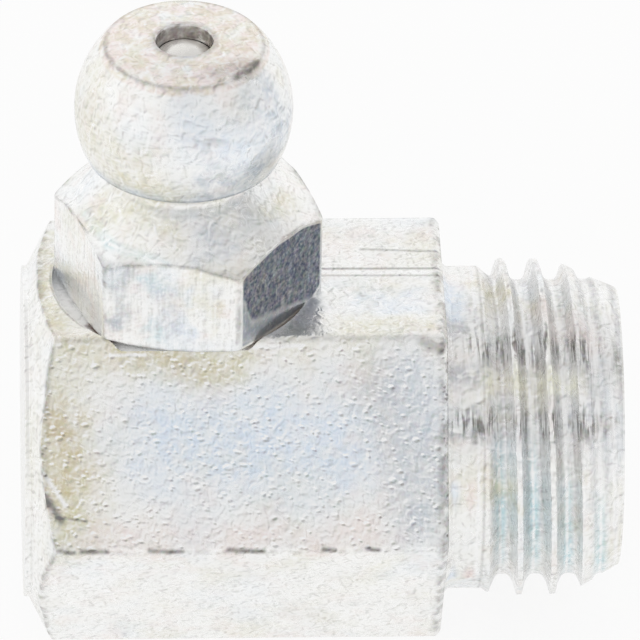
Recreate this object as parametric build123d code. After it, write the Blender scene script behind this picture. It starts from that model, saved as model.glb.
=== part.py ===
from build123d import *

import math
import os

# Right-angle grease nipple, size M10 x 1, in millimetres.
#
# The stud points along +X and the nipple head stands up along +Z.  The origin is
# the centre of the shoulder, where the stud leaves the hexagon.

# Elbow body, turned from hexagon bar
BODY_ACROSS_FLATS = 11.0
BODY_LENGTH = 12.5
BAR_CORNER_RADIUS = 0.35
SHOULDER_BREAK = 0.15
TURNED_END_DIAMETER = 9.9
TURNED_STEP = 0.15
END_CONE_ANGLE = 28.0

# Stud, M10 x 1
THREAD_DIAMETER = 10.0
STUD_LENGTH = 5.3
SHANK_DIAMETER = 9.66
SHANK_LENGTH = 0.9
SHANK_ROOT_BREAK = 0.2
STUD_END_DIAMETER = 8.3
GREASE_BORE_DIAMETER = 3.0
BORE_MOUTH_BREAK = 0.3

# Seat for the head, cut into the upper flat
HEAD_AXIS_FROM_SHOULDER = 7.78
SPOT_FACE_DIAMETER = 7.9
SPOT_FACE_DEPTH = 0.3
STEM_DIAMETER = 6.0
STEM_LENGTH = 4.0
STEM_CLEARANCE = 0.02
STEM_END_CHAMFER = 0.5
HOLE_BELOW_STEM = 1.5
DRILL_POINT_ANGLE = 118.0

# Hexagon of the head
HEAD_ACROSS_FLATS = 7.0
HEAD_TURN = -7.5
HEAD_HEX_TOP = 3.1
UNDERSIDE_CONTACT_DIAMETER = 6.6
UNDERSIDE_CHAMFER_ANGLE = 30.0
CHAMFER_CIRCLE_DIAMETER = 6.9
HEX_CHAMFER_ANGLE = 33.0

# Coupler ball of the head
COUPLER_BALL_DIAMETER = 6.45
COUPLER_BALL_HEIGHT = 6.4
NECK_DIAMETER = 4.4
NECK_FOOT_HEIGHT = 4.3
UNDERCUT_DROP = 1.45
UNDERCUT_ANGLE = 35.0
CROWN_EDGE_DIAMETER = 4.7
CROWN_RADIUS = 15.0

# Valve inside the head
MOUTH_DIAMETER = 1.66
MOUTH_DEPTH = 0.5
MOUTH_BREAK = 0.08
SEAT_ANGLE = 90.0
CHECK_BALL_DIAMETER = 2.5
SEAT_CLEARANCE = 0.02
BALL_RUNNING_CLEARANCE = 0.15
LIP_WIDTH = 0.65
LIP_THICKNESS = 0.4

# Valve spring
WIRE_DIAMETER = 0.3
COIL_CLEARANCE = 0.3
COIL_TURNS = 8
SPRING_CLEARANCE = 0.02

# Places and radii that follow from the sizes above
SEAT_Z = BODY_ACROSS_FLATS / 2 - SPOT_FACE_DEPTH
HEAD_PLACE = Pos(-HEAD_AXIS_FROM_SHOULDER, 0, 0)
STEM_BOTTOM_Z = SEAT_Z - STEM_LENGTH
LIP_TOP_Z = STEM_BOTTOM_Z + LIP_THICKNESS
COUPLER_BALL_RADIUS = COUPLER_BALL_DIAMETER / 2
COUPLER_BALL_Z = SEAT_Z + COUPLER_BALL_HEIGHT
CROWN_EDGE_RADIUS = CROWN_EDGE_DIAMETER / 2
CROWN_EDGE_Z = COUPLER_BALL_Z + math.sqrt(COUPLER_BALL_RADIUS**2 - CROWN_EDGE_RADIUS**2)
CROWN_CENTRE_Z = CROWN_EDGE_Z - math.sqrt(CROWN_RADIUS**2 - CROWN_EDGE_RADIUS**2)
MOUTH_RADIUS = MOUTH_DIAMETER / 2
MOUTH_Z = CROWN_CENTRE_Z + math.sqrt(CROWN_RADIUS**2 - MOUTH_RADIUS**2)
SEAT_EDGE_Z = MOUTH_Z - MOUTH_DEPTH
SEAT_HALF_ANGLE = math.radians(SEAT_ANGLE / 2)
SEAT_APEX_Z = SEAT_EDGE_Z + MOUTH_RADIUS / math.tan(SEAT_HALF_ANGLE)
CHECK_BALL_RADIUS = CHECK_BALL_DIAMETER / 2
CHECK_BALL_Z = SEAT_APEX_Z - (CHECK_BALL_RADIUS + SEAT_CLEARANCE) / math.sin(SEAT_HALF_ANGLE)
CHAMBER_RADIUS = CHECK_BALL_RADIUS + BALL_RUNNING_CLEARANCE
LIP_RADIUS = CHAMBER_RADIUS - LIP_WIDTH
WIRE_RADIUS = WIRE_DIAMETER / 2
COIL_RADIUS = CHAMBER_RADIUS - COIL_CLEARANCE - WIRE_RADIUS

# Radius and height where the stretches of the head's outline meet
LIP_EDGE = (LIP_RADIUS, STEM_BOTTOM_Z)
NECK_FOOT = (NECK_DIAMETER / 2, SEAT_Z + NECK_FOOT_HEIGHT)
MOUTH_EDGE = (MOUTH_RADIUS + MOUTH_BREAK, MOUTH_Z)


def about_x(*profile):
    """A closed outline of (x, radius) points turned about the stud's axis."""
    return revolve(Plane.XZ * make_face(Polyline(*profile, close=True)), Axis.X)


def about_head(outline):
    """A closed outline of radius and height turned about the head's axis."""
    return HEAD_PLACE * revolve(Plane.XZ * make_face(outline), Axis.Z)


def hexagon(across_flats):
    """A hexagon with corners on the sketch's X axis."""
    return RegularPolygon(across_flats / 2, 6, major_radius=False)


def hexagon_bar():
    """The drawn bar that the body is turned from, one flat upwards, its shoulder edge broken."""
    section = fillet(hexagon(BODY_ACROSS_FLATS).vertices(), BAR_CORNER_RADIUS)
    bar = extrude(Plane.YZ * section, -BODY_LENGTH)
    shoulder = bar.faces().sort_by(Axis.X)[-1]
    return chamfer(shoulder.edges(), SHOULDER_BREAK)


def turned_end_envelope():
    """What the lathe leaves of the bar: a short round step and a cone behind it."""
    end_radius = TURNED_END_DIAMETER / 2
    beyond_corners = BODY_ACROSS_FLATS
    step_x = -BODY_LENGTH + TURNED_STEP
    cone_length = (beyond_corners - end_radius) * math.tan(math.radians(END_CONE_ANGLE))
    return about_x(
        (-BODY_LENGTH, 0),
        (-BODY_LENGTH, end_radius),
        (step_x, end_radius),
        (step_x + cone_length, beyond_corners),
        (0, beyond_corners),
        (0, 0),
    )


def stud():
    """The stud at its thread's outside diameter, with a plain shank and a lead-in."""
    thread_radius = THREAD_DIAMETER / 2
    shank_radius = SHANK_DIAMETER / 2
    root_radius = shank_radius + SHANK_ROOT_BREAK
    end_radius = STUD_END_DIAMETER / 2
    return about_x(
        (-SHOULDER_BREAK, 0),
        (-SHOULDER_BREAK, root_radius),
        (0, root_radius),
        (SHANK_ROOT_BREAK, shank_radius),
        (SHANK_LENGTH, shank_radius),
        (SHANK_LENGTH + thread_radius - shank_radius, thread_radius),
        (STUD_LENGTH - (thread_radius - end_radius), thread_radius),
        (STUD_LENGTH, end_radius),
        (STUD_LENGTH, 0),
    )


def spot_face():
    """The round seat milled into the upper flat for the head."""
    cutter = extrude(Circle(SPOT_FACE_DIAMETER / 2), BODY_ACROSS_FLATS)
    return HEAD_PLACE * Pos(0, 0, SEAT_Z) * cutter


def stem_hole():
    """The blind hole that takes the head's stem, with its drill point."""
    radius = STEM_DIAMETER / 2
    bottom_z = STEM_BOTTOM_Z - HOLE_BELOW_STEM
    point_z = bottom_z - radius / math.tan(math.radians(DRILL_POINT_ANGLE / 2))
    return about_head(Polyline((0, SEAT_Z), (radius, SEAT_Z), (radius, bottom_z), (0, point_z), close=True))


def grease_bore():
    """The bore from the stud's end into the stem hole, its mouth broken."""
    radius = GREASE_BORE_DIAMETER / 2
    return about_x(
        (-HEAD_AXIS_FROM_SHOULDER, 0),
        (-HEAD_AXIS_FROM_SHOULDER, radius),
        (STUD_LENGTH - BORE_MOUTH_BREAK, radius),
        (STUD_LENGTH, radius + BORE_MOUTH_BREAK),
        (STUD_LENGTH, 0),
    )


def elbow_body():
    """The hexagon body with its stud, seat and grease passage, all one piece."""
    turned = (hexagon_bar() & turned_end_envelope()) + stud()
    return turned - spot_face() - stem_hole() - grease_bore()


def head_foot():
    """The head's outline from the lip round the stem and hexagon to the neck."""
    stem_radius = STEM_DIAMETER / 2 - STEM_CLEARANCE
    contact_radius = UNDERSIDE_CONTACT_DIAMETER / 2
    circle_radius = CHAMFER_CIRCLE_DIAMETER / 2
    circle_z = SEAT_Z + HEAD_HEX_TOP
    beyond_corners = HEAD_ACROSS_FLATS
    under_rise = (beyond_corners - contact_radius) * math.tan(math.radians(UNDERSIDE_CHAMFER_ANGLE))
    top_drop = (beyond_corners - circle_radius) * math.tan(math.radians(HEX_CHAMFER_ANGLE))
    return Polyline(
        LIP_EDGE,
        (stem_radius - STEM_END_CHAMFER, STEM_BOTTOM_Z),
        (stem_radius, STEM_BOTTOM_Z + STEM_END_CHAMFER),
        (stem_radius, SEAT_Z),
        (contact_radius, SEAT_Z),
        (beyond_corners, SEAT_Z + under_rise),
        (beyond_corners, circle_z - top_drop),
        (circle_radius, circle_z),
        NECK_FOOT,
    )


def coupler_ball():
    """The outline from the neck round the undercut and the ball, over the crowned top."""
    edge_radius = math.sqrt(COUPLER_BALL_RADIUS**2 - UNDERCUT_DROP**2)
    edge_z = COUPLER_BALL_Z - UNDERCUT_DROP
    undercut = (edge_radius - NECK_DIAMETER / 2) * math.tan(math.radians(UNDERCUT_ANGLE))
    neck = Polyline(NECK_FOOT, (NECK_DIAMETER / 2, edge_z - undercut), (edge_radius, edge_z))
    ball = RadiusArc(neck @ 1, (CROWN_EDGE_RADIUS, CROWN_EDGE_Z), -COUPLER_BALL_RADIUS)
    crown = RadiusArc(ball @ 1, MOUTH_EDGE, -CROWN_RADIUS)
    return neck + ball + crown


def valve_bore():
    """The outline down the mouth and its ball seat, and down the chamber to the lip."""
    seat_length = (CHAMBER_RADIUS - MOUTH_RADIUS) / math.tan(SEAT_HALF_ANGLE)
    return Polyline(
        MOUTH_EDGE,
        (MOUTH_RADIUS, MOUTH_Z - MOUTH_BREAK),
        (MOUTH_RADIUS, SEAT_EDGE_Z),
        (CHAMBER_RADIUS, SEAT_EDGE_Z - seat_length),
        (CHAMBER_RADIUS, LIP_TOP_Z),
        (LIP_RADIUS, LIP_TOP_Z),
        LIP_EDGE,
    )


def nipple_head():
    """The turned head, whose widest part is left as a hexagon for the spanner."""
    turned = about_head(head_foot() + coupler_ball() + valve_bore())
    above_head = COUPLER_BALL_Z + COUPLER_BALL_DIAMETER
    spanner_flats = HEAD_PLACE * Rot(0, 0, HEAD_TURN) * extrude(hexagon(HEAD_ACROSS_FLATS), above_head)
    return turned & spanner_flats


def check_ball():
    """The ball that closes the head's mouth, at rest just off its conical seat."""
    return HEAD_PLACE * Pos(0, 0, CHECK_BALL_Z) * Sphere(CHECK_BALL_RADIUS)


def check_spring():
    """The coil between the lip and the ball, which sits in its top turn. Its fine wire has eight sides."""
    reach = CHECK_BALL_RADIUS + WIRE_RADIUS + SPRING_CLEARANCE
    top_z = CHECK_BALL_Z - math.sqrt(reach**2 - COIL_RADIUS**2)
    bottom_z = LIP_TOP_Z + WIRE_RADIUS + SPRING_CLEARANCE
    height = top_z - bottom_z
    coil = HEAD_PLACE * Pos(0, 0, bottom_z) * Helix(height / COIL_TURNS, height, COIL_RADIUS)
    return sweep(Plane(coil @ 0, z_dir=coil % 0) * RegularPolygon(WIRE_RADIUS, 8), coil, is_frenet=True)


os.makedirs("parts", exist_ok=True)
for piece in (elbow_body, nipple_head, check_ball, check_spring):
    export_step(piece(), f"parts/{piece.__name__}.step")
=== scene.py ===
"""A right-angle grease nipple in bright zinc plate: its surfaces, finishes, floor, light and camera."""

import math
from functools import partial

import bpy
import numpy as np
from mathutils import Matrix, Vector


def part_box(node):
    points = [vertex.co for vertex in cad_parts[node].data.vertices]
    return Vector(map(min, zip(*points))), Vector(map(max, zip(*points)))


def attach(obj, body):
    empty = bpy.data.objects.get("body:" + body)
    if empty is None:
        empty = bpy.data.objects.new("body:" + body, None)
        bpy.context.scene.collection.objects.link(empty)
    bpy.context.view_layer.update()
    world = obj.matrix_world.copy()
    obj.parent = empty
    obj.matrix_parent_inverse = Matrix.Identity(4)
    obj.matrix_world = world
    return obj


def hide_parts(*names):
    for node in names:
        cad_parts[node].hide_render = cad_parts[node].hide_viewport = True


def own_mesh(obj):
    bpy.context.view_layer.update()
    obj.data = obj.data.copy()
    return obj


bl_info = {
    "name": "Right-angle grease nipple",
    "version": (1, 0, 0),
    "blender": (4, 5, 0),
    "location": "View3D > Sidebar > Grease Nipple",
    "description": "Builds the elbow body, nipple head, check ball and spring, with their finishes",
    "category": "Add Mesh",
}

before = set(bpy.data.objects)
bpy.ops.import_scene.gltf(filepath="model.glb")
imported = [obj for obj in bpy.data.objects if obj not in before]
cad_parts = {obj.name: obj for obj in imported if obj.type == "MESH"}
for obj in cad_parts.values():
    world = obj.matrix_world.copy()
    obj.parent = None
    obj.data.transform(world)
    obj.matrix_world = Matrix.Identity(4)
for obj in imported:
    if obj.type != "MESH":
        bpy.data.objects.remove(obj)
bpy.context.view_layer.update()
BODY_LOW, BODY_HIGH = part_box("elbow_body")
HEAD_LOW, HEAD_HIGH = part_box("nipple_head")
BALL_LOW, BALL_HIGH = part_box("check_ball")
SPRING_LOW, SPRING_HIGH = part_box("check_spring")
MM = 0.001
# faces that meet at less than this are shaded as one
CREASE = math.radians(35)
# from the seat down to the end of the head's stem
STEM_LENGTH = 4.0 * MM
# the stud's axis is the frame's own
STUD_AXIS = (0, 0, 0)
# the point that the camera is set on, near the middle of the part
CAMERA_AIM = Vector((-3.6042, 0.9294, 3.2978)) * MM


# ---------------------------------------------------------------- user settings


def length(name, default, description):
    """A length in metres that the user can change."""
    return bpy.props.FloatProperty(
        name=name, description=description, default=default, subtype="DISTANCE", unit="LENGTH", precision=5
    )


def angle(name, degrees, description):
    """An angle that the user can change."""
    return bpy.props.FloatProperty(
        name=name, description=description, default=math.radians(degrees), subtype="ANGLE", unit="ROTATION"
    )


def linear(text):
    """The linear red, green, blue and alpha of an sRGB hex colour."""
    values = [int(text[i : i + 2], 16) / 255 for i in (1, 3, 5)]
    return [v / 12.92 if v <= 0.04045 else ((v + 0.055) / 1.055) ** 2.4 for v in values] + [1.0]


WHITE = linear("#FFFFFF")


def colour(name, text, description):
    """A colour that the user can change, with its default given as sRGB hex."""
    return bpy.props.FloatVectorProperty(
        name=name, description=description, default=linear(text), size=4, subtype="COLOR", min=0, max=1
    )


class ElbowSizes(bpy.types.PropertyGroup):
    """Sizes of the hexagon body, turned from bar."""

    across_flats: length("Across flats", BODY_HIGH.z - BODY_LOW.z, "Width of the hexagon over two flats")
    body_length: length("Body length", -BODY_LOW.x, "From the turned end to the shoulder")
    corner_radius: length("Corner radius", 0.35 * MM, "Rounding of the drawn bar's six corners")
    shoulder_break: length("Shoulder break", 0.15 * MM, "Chamfer round the shoulder's edge")
    end_diameter: length("Turned end", 9.9 * MM, "Diameter of the turned end face")
    end_step: length("Turned step", 0.15 * MM, "Length of the short step at the turned end")
    end_cone: angle("End cone", 28, "Angle of the end cone from the end face")
    head_axis: length("Head axis", (HEAD_LOW.x + HEAD_HIGH.x) / 2, "Where the head's axis is on the body")
    seat_diameter: length("Spot face", 7.72 * MM, "Diameter of the seat milled for the head")
    seat_depth: length("Spot face depth", 0.3 * MM, "Depth of the seat below the upper flat")
    hole_diameter: length("Stem hole", 6.0 * MM, "Diameter of the hole for the head's stem")
    hole_depth: length("Stem hole depth", 4.06 * MM, "Depth of the stem hole below the seat")


class StudSizes(bpy.types.PropertyGroup):
    """Sizes of the threaded stud."""

    stud_length: length("Stud length", BODY_HIGH.x, "From the shoulder to the stud's end")
    thread_diameter: length("Thread diameter", 10.06 * MM, "Over the crests of the thread")
    pitch: length("Pitch", 1.0 * MM, "From one crest to the next")
    thread_depth: length("Thread depth", 0.62 * MM, "From crest to root")
    crest_width: length("Crest width", 0.17 * MM, "Width of the flat on each crest")
    first_crest: length("First crest", 0.68 * MM, "Place of a crest where the helix starts")
    shank_diameter: length("Shank diameter", 9.66 * MM, "Plain neck between the shoulder and the thread")
    root_break: length("Root break", 0.2 * MM, "Chamfer between the shoulder and the shank")
    end_diameter: length("End diameter", 8.3 * MM, "Diameter of the stud's end face")
    lead_in: angle("Lead-in", 27, "Angle of the lead-in cone from the stud's axis")
    lead_in_offset: length("Lead-in offset", 0.1 * MM, "How far the lead-in cone lies off the stud's axis")
    bore_diameter: length("Grease bore", 3.0 * MM, "Diameter of the grease bore")
    bore_break: length("Bore break", 0.3 * MM, "Chamfer at the bore's mouth")


class HeadSizes(bpy.types.PropertyGroup):
    """Sizes of the nipple head and of the valve inside it."""

    across_flats: length("Across flats", 7.0 * MM, "Width of the head's hexagon over two flats")
    corner_radius: length("Corner radius", 0.28 * MM, "Rounding of the hexagon's corners")
    turn: angle("Turn", -9.5, "How far the hexagon is turned about its axis")
    run_out: length("Run-out", 0.17 * MM, "How far the bar's hexagon lies off the turned axis")
    stem_diameter: length("Stem", 5.96 * MM, "Diameter of the stem in the body")
    stem_chamfer: length("Stem chamfer", 0.5 * MM, "Chamfer at the stem's end")
    contact_diameter: length("Contact", 6.6 * MM, "Diameter of the underside where it meets the seat")
    underside: angle("Underside", 20, "Angle of the cone under the hexagon from the seat")
    hex_top: length("Hexagon top", 3.19 * MM, "Height above the seat of the chamfer circle")
    chamfer_circle: length("Chamfer circle", 6.9 * MM, "Diameter of the circle where the chamfer starts")
    chamfer: angle("Chamfer", 33, "Angle of the cone over the hexagon")
    neck_diameter: length("Neck", 4.4 * MM, "Diameter of the neck")
    neck_foot: length("Neck foot", 4.3 * MM, "Height of the neck's foot above the seat")
    ball_diameter: length("Coupler ball", 6.45 * MM, "Diameter of the ball for the coupler")
    ball_height: length("Ball height", 6.4 * MM, "Height of the ball's centre above the seat")
    undercut_drop: length("Undercut drop", 1.45 * MM, "How far its edge is below the ball's centre")
    undercut: angle("Undercut", 35, "Angle of the undercut cone")
    crown_diameter: length("Crown edge", 4.7 * MM, "Diameter of the crowned top")
    crown_radius: length("Crown radius", 15.0 * MM, "Radius of the crowned top")
    mouth_diameter: length("Mouth", 1.66 * MM, "Diameter of the mouth")
    mouth_depth: length("Mouth depth", 0.5 * MM, "Depth of the mouth down to the ball's seat")
    mouth_break: length("Mouth break", 0.04 * MM, "Chamfer at the mouth")
    seat_angle: angle("Seat angle", 90, "Full angle of the conical ball seat")
    chamber_diameter: length("Chamber", 2.8 * MM, "Diameter of the chamber of ball and spring")
    lip_diameter: length("Lip", 1.5 * MM, "Opening in the lip that holds the spring")
    lip_thickness: length("Lip thickness", 0.4 * MM, "Thickness of the lip at the stem's end")


class ValveSizes(bpy.types.PropertyGroup):
    """Sizes of the check ball and its spring."""

    ball_diameter: length("Check ball", BALL_HIGH.x - BALL_LOW.x, "Diameter of the check ball")
    wire_diameter: length("Wire", 0.3 * MM, "Diameter of the spring's wire")
    coils: bpy.props.FloatProperty(name="Coils", description="Turns of the spring", default=8, min=2)


class FinishColours(bpy.types.PropertyGroup):
    """Colours of the zinc plate and of the steel."""

    zinc: colour("Zinc", "#FCFCFA", "Bright zinc plate")
    yellow: colour("Yellow tint", "#DFDABB", "Where the passivation film turns yellow")
    blue: colour("Blue tint", "#E2EEFC", "Where the passivation film turns blue")
    rose: colour("Rose tint", "#F5E4DF", "Where the passivation film turns rose")
    cyan: colour("Cyan tint", "#BDE0E8", "Where the passivation film turns cyan")
    slate: colour("Slate tint", "#D6DEE7", "Where the passivation film turns slate grey")
    amber: colour("Amber tint", "#C6A277", "Where the passivation film is thick and turns amber")
    grime: colour("Grime", "#84827E", "Dull film in pits and along edges")
    rust: colour("Rust", "#8A4A38", "Red-brown stain in a few corners")
    ball_steel: colour("Ball steel", "#F0EEEA", "Polished bearing steel")
    wire_steel: colour("Wire steel", "#8F8F8D", "Drawn spring steel")


class StageSettings(bpy.types.PropertyGroup):
    """Floor, light and camera."""

    floor: colour("Floor", "#F7F7F6", "Colour of the floor")
    light: bpy.props.FloatProperty(name="Light", description="Strength of the surroundings", default=1.0)
    lens: bpy.props.FloatProperty(
        name="Lens", description="Focal length", default=675, min=1, max=5000, subtype="DISTANCE_CAMERA"
    )
    azimuth: angle("Azimuth", -2.75, "How far the camera stands to the left")
    elevation: angle("Elevation", 34.72, "Height of the camera above the horizon")
    roll: angle("Roll", 1.09, "Turn of the camera about its line of sight")
    distance: length("Distance", 358.5 * MM, "From the camera to the point that it is set on")


# ---------------------------------------------------------------- shapes


def ripple(points, size, seed):
    """Smooth irregular values about 0 with a spread of 1, at points in metres.

    It is the sum of sixteen sine waves of about the given wavelength, each in a direction and
    with a phase of its own, divided by the square root of half their number.
    """
    made = np.random.default_rng(seed)
    ways = made.normal(size=(16, 3))
    lengths = np.linalg.norm(ways, axis=1, keepdims=True)
    ways *= (2 * np.pi / size) * made.uniform(0.5, 1.5, (16, 1)) / lengths
    phases = made.uniform(0, 2 * np.pi, 16)
    total = np.zeros(points.shape[:-1])
    for way, phase in zip(ways, phases):
        total += np.sin(points @ way + phase)
    return total / math.sqrt(8)


def step(value, low, high):
    """0 below low and 1 above high, joined by the cubic that is level at both ends."""
    share = np.clip((value - low) / (high - low), 0, 1)
    return share * share * (3 - 2 * share)


def from_nearest(turn, first):
    """How far turn is from the nearest of six even directions, the first of which is given."""
    return (turn - first + np.pi / 6) % (np.pi / 3) - np.pi / 6


def from_corner(turn, across, corner_at):
    """Distance along a hexagon's flats from its nearest corner."""
    return np.abs(from_nearest(turn, corner_at)) * across / math.sqrt(3)


def corner_turn(across, corner):
    """Half the angle that each round corner of a hexagon takes, seen from its axis."""
    return np.pi / 6 - math.atan((1 - 2 * corner / across) * math.tan(np.pi / 6))


def unit(vectors):
    """The vectors at length 1, or still of no length where they had none."""
    return vectors / np.maximum(np.linalg.norm(vectors, axis=-1, keepdims=True), 1e-30)


def joined(*parts):
    """Points whose numbers are the parts, each broadcast to the shape of all."""
    return np.stack(np.broadcast_arrays(*parts), axis=-1)


def hexagon_radius(turn, across, corner, flat_at):
    """Distance from the axis to a hexagon with round corners, in the directions given by turn.

    On a flat it is half the width over the cosine of the angle from the flat's middle. Near a
    corner it is the far crossing with the circle that rounds the corner.
    """
    from_flat = from_nearest(turn, flat_at)
    to_corner = np.pi / 6 - np.abs(from_flat)
    inset = across / 2 - corner
    centre = inset / np.cos(np.pi / 6)
    touch = math.atan2(inset * math.tan(np.pi / 6), across / 2)
    half_chord_squared = np.maximum(corner**2 - (centre * np.sin(to_corner)) ** 2, 0)
    on_round = centre * np.cos(to_corner) + np.sqrt(half_chord_squared)
    return np.where(np.abs(from_flat) > touch, on_round, across / 2 / np.cos(from_flat))


def directions(start, corner_at, spacing, corner_spread):
    """Angles once round from start, evenly spaced, with more of them near the six corners."""
    even = np.linspace(start, start + 2 * np.pi, round(2 * np.pi / spacing) + 1)
    near = np.linspace(-corner_spread, corner_spread, 13)
    corners = (corner_at + np.arange(6) * np.pi / 3)[:, None] + near
    corners = (corners.ravel() - start) % (2 * np.pi) + start
    keep = np.abs(from_nearest(even, corner_at)) > corner_spread * 1.1
    keep[[0, -1]] = True
    return np.unique(np.round(np.concatenate([even[keep], corners]), 9))


def rounded(points, setbacks):
    """Rows along the stretches between points, with every inner corner rounded.

    points is corners by columns by numbers. Each corner becomes five rows of the parabola that
    touches both its stretches at the setback, or at 0.45 of the shorter stretch if that is less.
    A corner with no setback stays one row.
    """
    rows = [points[0]]
    for i in range(1, len(points) - 1):
        here = points[i]
        if setbacks[i] == 0:
            rows.append(here)
            continue
        back, on = points[i - 1] - here, points[i + 1] - here
        back_length = np.maximum(np.linalg.norm(back, axis=-1, keepdims=True), 1e-12)
        on_length = np.maximum(np.linalg.norm(on, axis=-1, keepdims=True), 1e-12)
        cut = np.minimum(setbacks[i], 0.45 * np.minimum(back_length, on_length))
        t = np.linspace(0, 1, 5)[:, None, None]
        start, end = here + back / back_length * cut, here + on / on_length * cut
        rows.extend((1 - t) ** 2 * start + 2 * t * (1 - t) * here + t**2 * end)
    rows.append(points[-1])
    return np.array(rows)


def about_x(axial, radial, turn):
    """Points at the given distances along and from the X axis."""
    return joined(axial, radial * np.cos(turn), radial * np.sin(turn))


def about_z(radial, height, turn, centre_x):
    """Points at the given distances from, and heights along, an upright axis through centre_x."""
    return joined(centre_x + radial * np.cos(turn), radial * np.sin(turn), height)


def corner_normals(points, triangles):
    """One normal for each corner of each triangle.

    It is the sum of the area vectors of the triangles round the same point whose own normals lie
    within CREASE of this triangle's normal, so wide faces stay flat up to their edges.
    """
    a, b, c = points[triangles.T]
    areas = np.cross(b - a, c - a)
    units = unit(areas)
    at = triangles.ravel()
    order = np.argsort(at, kind="stable")
    sizes = np.bincount(at, minlength=len(points))
    starts = np.concatenate([[0], np.cumsum(sizes)[:-1]])
    face = order // 3
    place = np.arange(len(order)) - starts[at[order]]
    size = sizes[at[order]]
    total = np.zeros((len(order), 3))
    for shift in range(sizes.max()):
        held = np.flatnonzero(size > shift)
        other = starts[at[order[held]]] + (place[held] + shift) % size[held]
        close = (units[face[held]] * units[face[other]]).sum(1) > math.cos(CREASE)
        total[held] += areas[face[other]] * close[:, None]
    normals = np.zeros((len(order), 3))
    normals[order] = unit(total)
    return normals


def make_piece(name, body, node, grid, finishes):
    """A closed piece from a grid of points, which rides on its body and stands for its node.

    The grid is (points, kinds, edge): rows by columns by 3, closed round its columns; the
    finish of each row of faces, or of each face; and how near each point is to a worn edge,
    from 0 to 1. Every square of the grid is split into two triangles. Points that coincide
    become one, and triangles that shrink to nothing are left out.
    """
    points, kinds, edges = grid
    rows, columns = points.shape[:2]
    index = np.arange(rows * columns).reshape(rows, columns)
    beside = np.roll(index, -1, axis=1)
    a, b, c, d = index[:-1], beside[:-1], beside[1:], index[1:]
    triangles = np.concatenate([joined(a, b, c), joined(a, c, d)]).reshape(-1, 3)
    kinds = np.tile(np.broadcast_to(kinds, (rows - 1, columns)).ravel(), 2)
    points, edges = points.reshape(-1, 3), np.broadcast_to(edges, (rows, columns)).ravel()

    # points within about 20 nanometres of each other are one point
    cells = np.round(points / 2e-8).astype(np.int64)
    _, first, same = np.unique(cells, axis=0, return_index=True, return_inverse=True)
    points, edges, triangles = points[first], edges[first], same.reshape(-1)[triangles]
    a, b, c = points[triangles.T]
    whole = np.linalg.norm(np.cross(b - a, c - a), axis=1) > 1e-14
    triangles, kinds = triangles[whole], kinds[whole]
    # turned over if they face inwards, where the volume they close is negative
    a, b, c = points[triangles.T]
    if (a * np.cross(b, c)).sum() < 0:
        triangles = triangles[:, ::-1].copy()
    used, triangles = np.unique(triangles, return_inverse=True)
    points, edges, triangles = points[used], edges[used], triangles.reshape(-1, 3)

    mesh = bpy.data.meshes.new(name)
    mesh.vertices.add(len(points))
    mesh.loops.add(triangles.size)
    mesh.polygons.add(len(triangles))
    mesh.vertices.foreach_set("co", points.ravel())
    mesh.loops.foreach_set("vertex_index", triangles.ravel())
    mesh.polygons.foreach_set("loop_start", np.arange(0, triangles.size, 3))
    mesh.polygons.foreach_set("material_index", kinds.astype(np.int32))
    mesh.update(calc_edges=True)
    mesh.attributes.new("edge", "FLOAT", "POINT").data.foreach_set("value", edges.astype(np.float32))
    mesh.normals_split_custom_set(corner_normals(points, triangles))
    for finish in finishes:
        mesh.materials.append(finish)
    piece = bpy.data.objects.new(name, mesh)
    bpy.context.scene.collection.objects.link(piece)
    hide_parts(node)
    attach(piece, body)
    return piece


# ---------------------------------------------------------------- the elbow body


def upper_outline(side, s):
    """Height of the bar's outline at a distance from its middle plane, over the upper flat.

    It is level on the flat, then a circle of the corner radius, then the slope of the next flat.
    """
    corner = s.across_flats / 2 * math.tan(np.pi / 6)
    flat_end = (s.across_flats / 2 - s.corner_radius) * math.tan(np.pi / 6)
    slope_start = flat_end + s.corner_radius * math.sin(np.pi / 3)
    round_drop = s.corner_radius - np.sqrt(np.maximum(s.corner_radius**2 - (side - flat_end) ** 2, 0))
    slope_drop = (side - corner) * math.tan(np.pi / 3)
    drop = np.where(side < flat_end, 0, np.where(side < slope_start, round_drop, slope_drop))
    return s.across_flats / 2 - drop


def half_chord(diameter, along):
    """Half the width of a circle at a distance from its middle, and 0 where it is next to nothing."""
    half = np.sqrt(np.maximum((diameter / 2) ** 2 - along**2, 0))
    return np.where(half < 0.02 * MM, 0, half)


def seat_rows(s):
    """Places along the body of the rows over the seat, and which are in the seat and in its hole.

    They are the cosines of even turns round both circles, so that rows end exactly on both. The
    rows at the ends of each circle are there twice, outside it and inside it.
    """
    seat, hole = s.seat_diameter / 2, s.hole_diameter / 2
    round_seat, round_hole = np.linspace(0, np.pi, 53), np.linspace(0, np.pi, 29)
    places = np.concatenate([seat * np.cos(round_seat), hole * np.cos(round_hole)])
    places = np.unique(np.round(places, 9))
    left, right = np.flatnonzero(np.abs(places) <= hole + 1e-9)[[0, -1]]
    last = len(places) - 1
    parts = [[0], np.arange(left + 1), np.arange(left, right + 1), np.arange(right, last + 1), [last]]
    order = np.concatenate(parts)
    row = np.arange(len(order))
    in_seat = (row > 0) & (row < len(order) - 1)
    in_hole = (row >= left + 2) & (row <= right + 2)
    return places[order], in_seat, in_hole


def corners(turn, *places):
    """The corners of a profile as an array of corners by columns, one for each turn, by numbers."""
    return np.array([joined(*(number + 0 * turn for number in place)) for place in places])


def worn(rows, creases, width):
    """How near each point of the rows is to a crease of its own column, from 1 on it to 0.

    It is e to the power of minus the square of the distance over the width.
    """
    gaps = [np.linalg.norm(rows - crease, axis=-1) for crease in creases]
    return np.exp(-((np.min(gaps, axis=0) / width) ** 2))


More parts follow.
